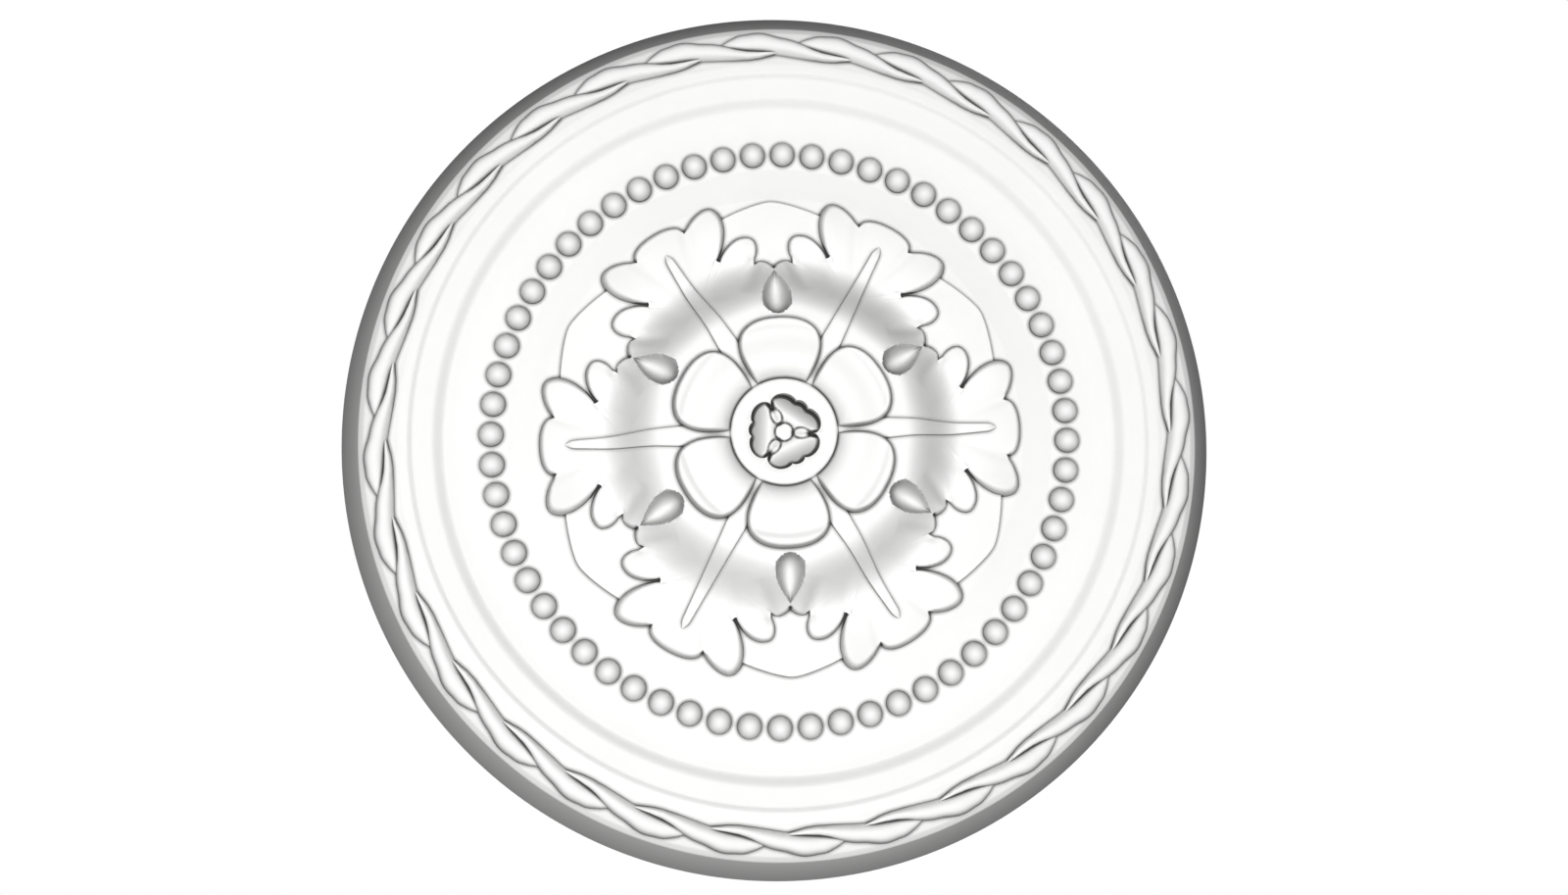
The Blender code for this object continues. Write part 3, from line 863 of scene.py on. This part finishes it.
wellForm = {
    "steps": 540, "edge": 0.0009, "roundness": 0.50,
    "turn": math.radians(54),       # where the middle of one bud petal points
    "cusp": math.radians(12.5),     # half the angle of the small lobe at the end of each petal
    "radii": {"deepCusp": 0.0190, "cusp": 0.0213, "largeLobe": 0.0252, "smallLobe": 0.0235},
}


def wellRadius(angle):
    # the opening follows the ends of the bud's petals: a large, a small and a large lobe on each
    third = math.tau / 3
    off = abs((angle - wellForm["turn"] + third / 2) % third - third / 2)
    radii, cusp, roundness = wellForm["radii"], wellForm["cusp"], wellForm["roundness"]
    if off < cusp:
        swell = math.cos(math.pi / 2 * off / cusp) ** roundness
        return radii["cusp"] + (radii["smallLobe"] - radii["cusp"]) * swell
    share = (off - cusp) / (third / 2 - cusp)
    low = radii["cusp"] + (radii["deepCusp"] - radii["cusp"]) * share
    return low + (radii["largeLobe"] - low) * max(math.sin(math.pi * share), 0) ** roundness


def makeHub():
    # the flat ring round the bud: rounded outside, with a small bevel inside
    angles = [math.tau * i / wellForm["steps"] for i in range(wellForm["steps"])]
    outer, edge, foot = medallion * hubForm["radius"], wellForm["edge"], wellFloor - sink
    outside = [(0, foot)] + [(inset, hubHeight - drop) for inset, drop in hubForm["rim"]]
    inside = ((edge, hubHeight), (edge * bevelShare, hubHeight - edge * bevelShare),
              (0, hubHeight - edge), (0, foot))
    rings = [[(*polar(angle, outer - inset), height) for angle in angles]
             for inset, height in outside]
    rings += [[(*polar(angle, wellRadius(angle) + margin), height) for angle in angles]
              for margin, height in inside]
    work = bmesh.new()
    joinRings(work, rings + rings[:1])
    finishPiece("flower_ring", meshOf(work, "hub"))


makeHub()

budForm = {
    "top": 0.0024,                  # below the flat ring
    "ridge": 0.0100, "outer": 0.0240, "fall": 0.0125, "curve": 1.6, "fallLimit": 1.2,
    "inwardFall": 0.0024, "inwardReach": 0.007,
    "valleyDepth": 0.0050, "valleyWidth": 0.0018, "valleyStart": (0.012, 0.016),
    "leafMiddle": 0.0116, "leafLength": 0.0056, "leafWidth": 0.0035, "leafLift": 0.0010,
    "ball": 0.0061, "ballLift": 0.0014,
    "groove": 0.0008, "grooveWidth": 0.0006,
    "overlap": 0.0012, "rings": 56, "steps": 300, "sharpAngle": 60,
}


def budHeight(radius, angle):
    # three fat petals, each bent over along a straight ridge, and slim leaves and a ball between
    third = math.tau / 3
    off = (angle - wellForm["turn"] + third / 2) % third - third / 2
    out = (radius * np.cos(off) - budForm["ridge"]) / (budForm["outer"] - budForm["ridge"])
    fall = budForm["fall"] * np.clip(out, 0, budForm["fallLimit"]) ** budForm["curve"]
    inward = budForm["ridge"] - radius * np.cos(off)
    height = hubHeight - budForm["top"] - fall
    height -= budForm["inwardFall"] * smooth(inward, 0, budForm["inwardReach"])

    side = third / 2 - np.abs(off)
    along, across = radius * np.cos(side), radius * np.sin(side)
    valley = np.exp(-(across / budForm["valleyWidth"]) ** 2)
    valley = budForm["valleyDepth"] * valley * smooth(radius, *budForm["valleyStart"])
    reach = np.hypot((along - budForm["leafMiddle"]) / budForm["leafLength"],
                     across / budForm["leafWidth"])
    inLeaf = np.sqrt(np.clip(1 - reach ** 2, 0, 1))
    inBall = np.sqrt(np.clip(1 - (radius / budForm["ball"]) ** 2, 0, 1))
    height += (budForm["leafLift"] + valley) * inLeaf - valley + budForm["ballLift"] * inBall

    for rim in ((reach - 1) * budForm["leafWidth"], radius - budForm["ball"]):
        height -= budForm["groove"] * np.exp(-(rim / budForm["grooveWidth"]) ** 2)
    return height


def makeBud():
    angles = np.arange(budForm["steps"]) * math.tau / budForm["steps"]
    outer = np.array([wellRadius(angle) + budForm["overlap"] for angle in angles])

    def ringAt(share, heights):
        return np.column_stack((outer * share * np.cos(angles), outer * share * np.sin(angles),
                                heights))

    rings = [ringAt(1, np.full(len(angles), wellFloor - sink))]
    for i in range(budForm["rings"]):
        share = 1 - i / budForm["rings"]
        rings.append(ringAt(share, budHeight(outer * share, angles)))
    pole = (0, 0, float(budHeight(np.zeros(1), np.zeros(1))[0]))
    finishPiece("flower_bud", meshOf(loftRings(rings, pole), "bud"), budForm["sharpAngle"])


makeBud()

# Floor, light and camera

stageForm = {
    "floorDrop": 3.2, "floorSize": 40.0, "floorColour": (0.80, 0.80, 0.79, 1),
    "floorRoughness": 0.85, "floorGlow": 1.0,
    "keyPower": 80.0, "keySize": 0.45, "keyDistance": 1.85,     # in distances of the camera
    "fillPlace": (0.5, -0.5, 1.25), "fillPower": 16.0, "fillSize": 1.2,
    "white": (1, 1, 1, 1), "ambient": 0.05, "background": 1.0, "contrast": 0.69,
}
cameraForm = {
    "eye": (-0.08516, 0.16684, -1.48243),       # worked out from four rings in the photograph
    "aim": (0.00338, 0.00426, 0.0),
    "roll": math.radians(2.8),
    "focalPixels": 2202.0, "imageWidth": 1600, "sensorWidth": 36.0, "clip": (0.05, 50.0),
}


def makeCamera():
    # the photograph shows the rose turned a little, so the camera is turned the other way
    turned = Matrix.Rotation(cameraForm["roll"], 3, "Z")
    eye, aim = (turned @ Vector(cameraForm[name]) for name in ("eye", "aim"))
    forward = (aim - eye).normalized()
    right = forward.cross(turned @ Vector((0, -1, 0))).normalized()
    upward = right.cross(forward)
    data = bpy.data.cameras.new("camera")
    data.sensor_width = cameraForm["sensorWidth"]
    data.lens = cameraForm["focalPixels"] / cameraForm["imageWidth"] * data.sensor_width
    data.clip_start, data.clip_end = cameraForm["clip"]
    camera = addObject("camera", data)
    facing = Matrix((right, upward, -forward)).transposed().to_4x4()
    camera.matrix_world = Matrix.Translation(eye) @ facing
    bpy.context.scene.camera = camera
    return eye


def addAreaLight(name, place, power, size):
    # a round lamp that points at the rose
    data = bpy.data.lights.new(name, "AREA")
    data.shape = "DISK"
    data.size = size
    data.energy = power
    light = addObject(name, data)
    light.location = place
    light.rotation_mode = "QUATERNION"
    light.rotation_quaternion = (-Vector(place)).to_track_quat("-Z", "Y")


def makeFloor():
    # plain and pale, and evenly bright where the camera looks at it
    material = bpy.data.materials.new("paleFloor")
    material.use_nodes = True
    graph = Graph(material.node_tree)
    matt = material.node_tree.nodes["Principled BSDF"]
    matt.inputs["Base Color"].default_value = stageForm["floorColour"]
    matt.inputs["Roughness"].default_value = stageForm["floorRoughness"]
    glow = graph.node("ShaderNodeEmission",
                      values={"Color": stageForm["white"], "Strength": stageForm["floorGlow"]})
    seen = graph.node("ShaderNodeLightPath", output="Is Camera Ray")
    mixed = graph.node("ShaderNodeMixShader",
                       values={0: seen, 1: Wire(graph, matt.outputs[0]), 2: glow})
    outlet = material.node_tree.nodes["Material Output"]
    material.node_tree.links.new(mixed.socket, outlet.inputs["Surface"])
    half, low = stageForm["floorSize"] / 2, -stageForm["floorDrop"]
    corners = [(-half, -half, low), (half, -half, low), (half, half, low), (-half, half, low)]
    mesh = bpy.data.meshes.new("floor")
    mesh.from_pydata(corners, [], [(0, 1, 2, 3)])
    mesh.materials.append(material)
    addObject("floor", mesh)


def makeWorld():
    world = bpy.data.worlds.new("studio")
    bpy.context.scene.world = world
    world.use_nodes = True
    graph = Graph(world.node_tree)
    seen = graph.node("ShaderNodeLightPath", output="Is Camera Ray")
    ambient = stageForm["ambient"]
    strength = seen * (stageForm["background"] - ambient) + ambient
    background = world.node_tree.nodes["Background"]
    background.inputs["Color"].default_value = stageForm["white"]
    world.node_tree.links.new(strength.socket, background.inputs["Strength"])


makeFloor()
makeWorld()
cameraPlace = makeCamera()
addAreaLight("keyLight", cameraPlace * stageForm["keyDistance"], stageForm["keyPower"],
             stageForm["keySize"])
addAreaLight("fillLight", stageForm["fillPlace"], stageForm["fillPower"], stageForm["fillSize"])
bpy.context.scene.view_settings.view_transform = "Standard"
bpy.context.scene.view_settings.gamma = stageForm["contrast"]

bpy.context.view_layer.update()
print("scene ready")
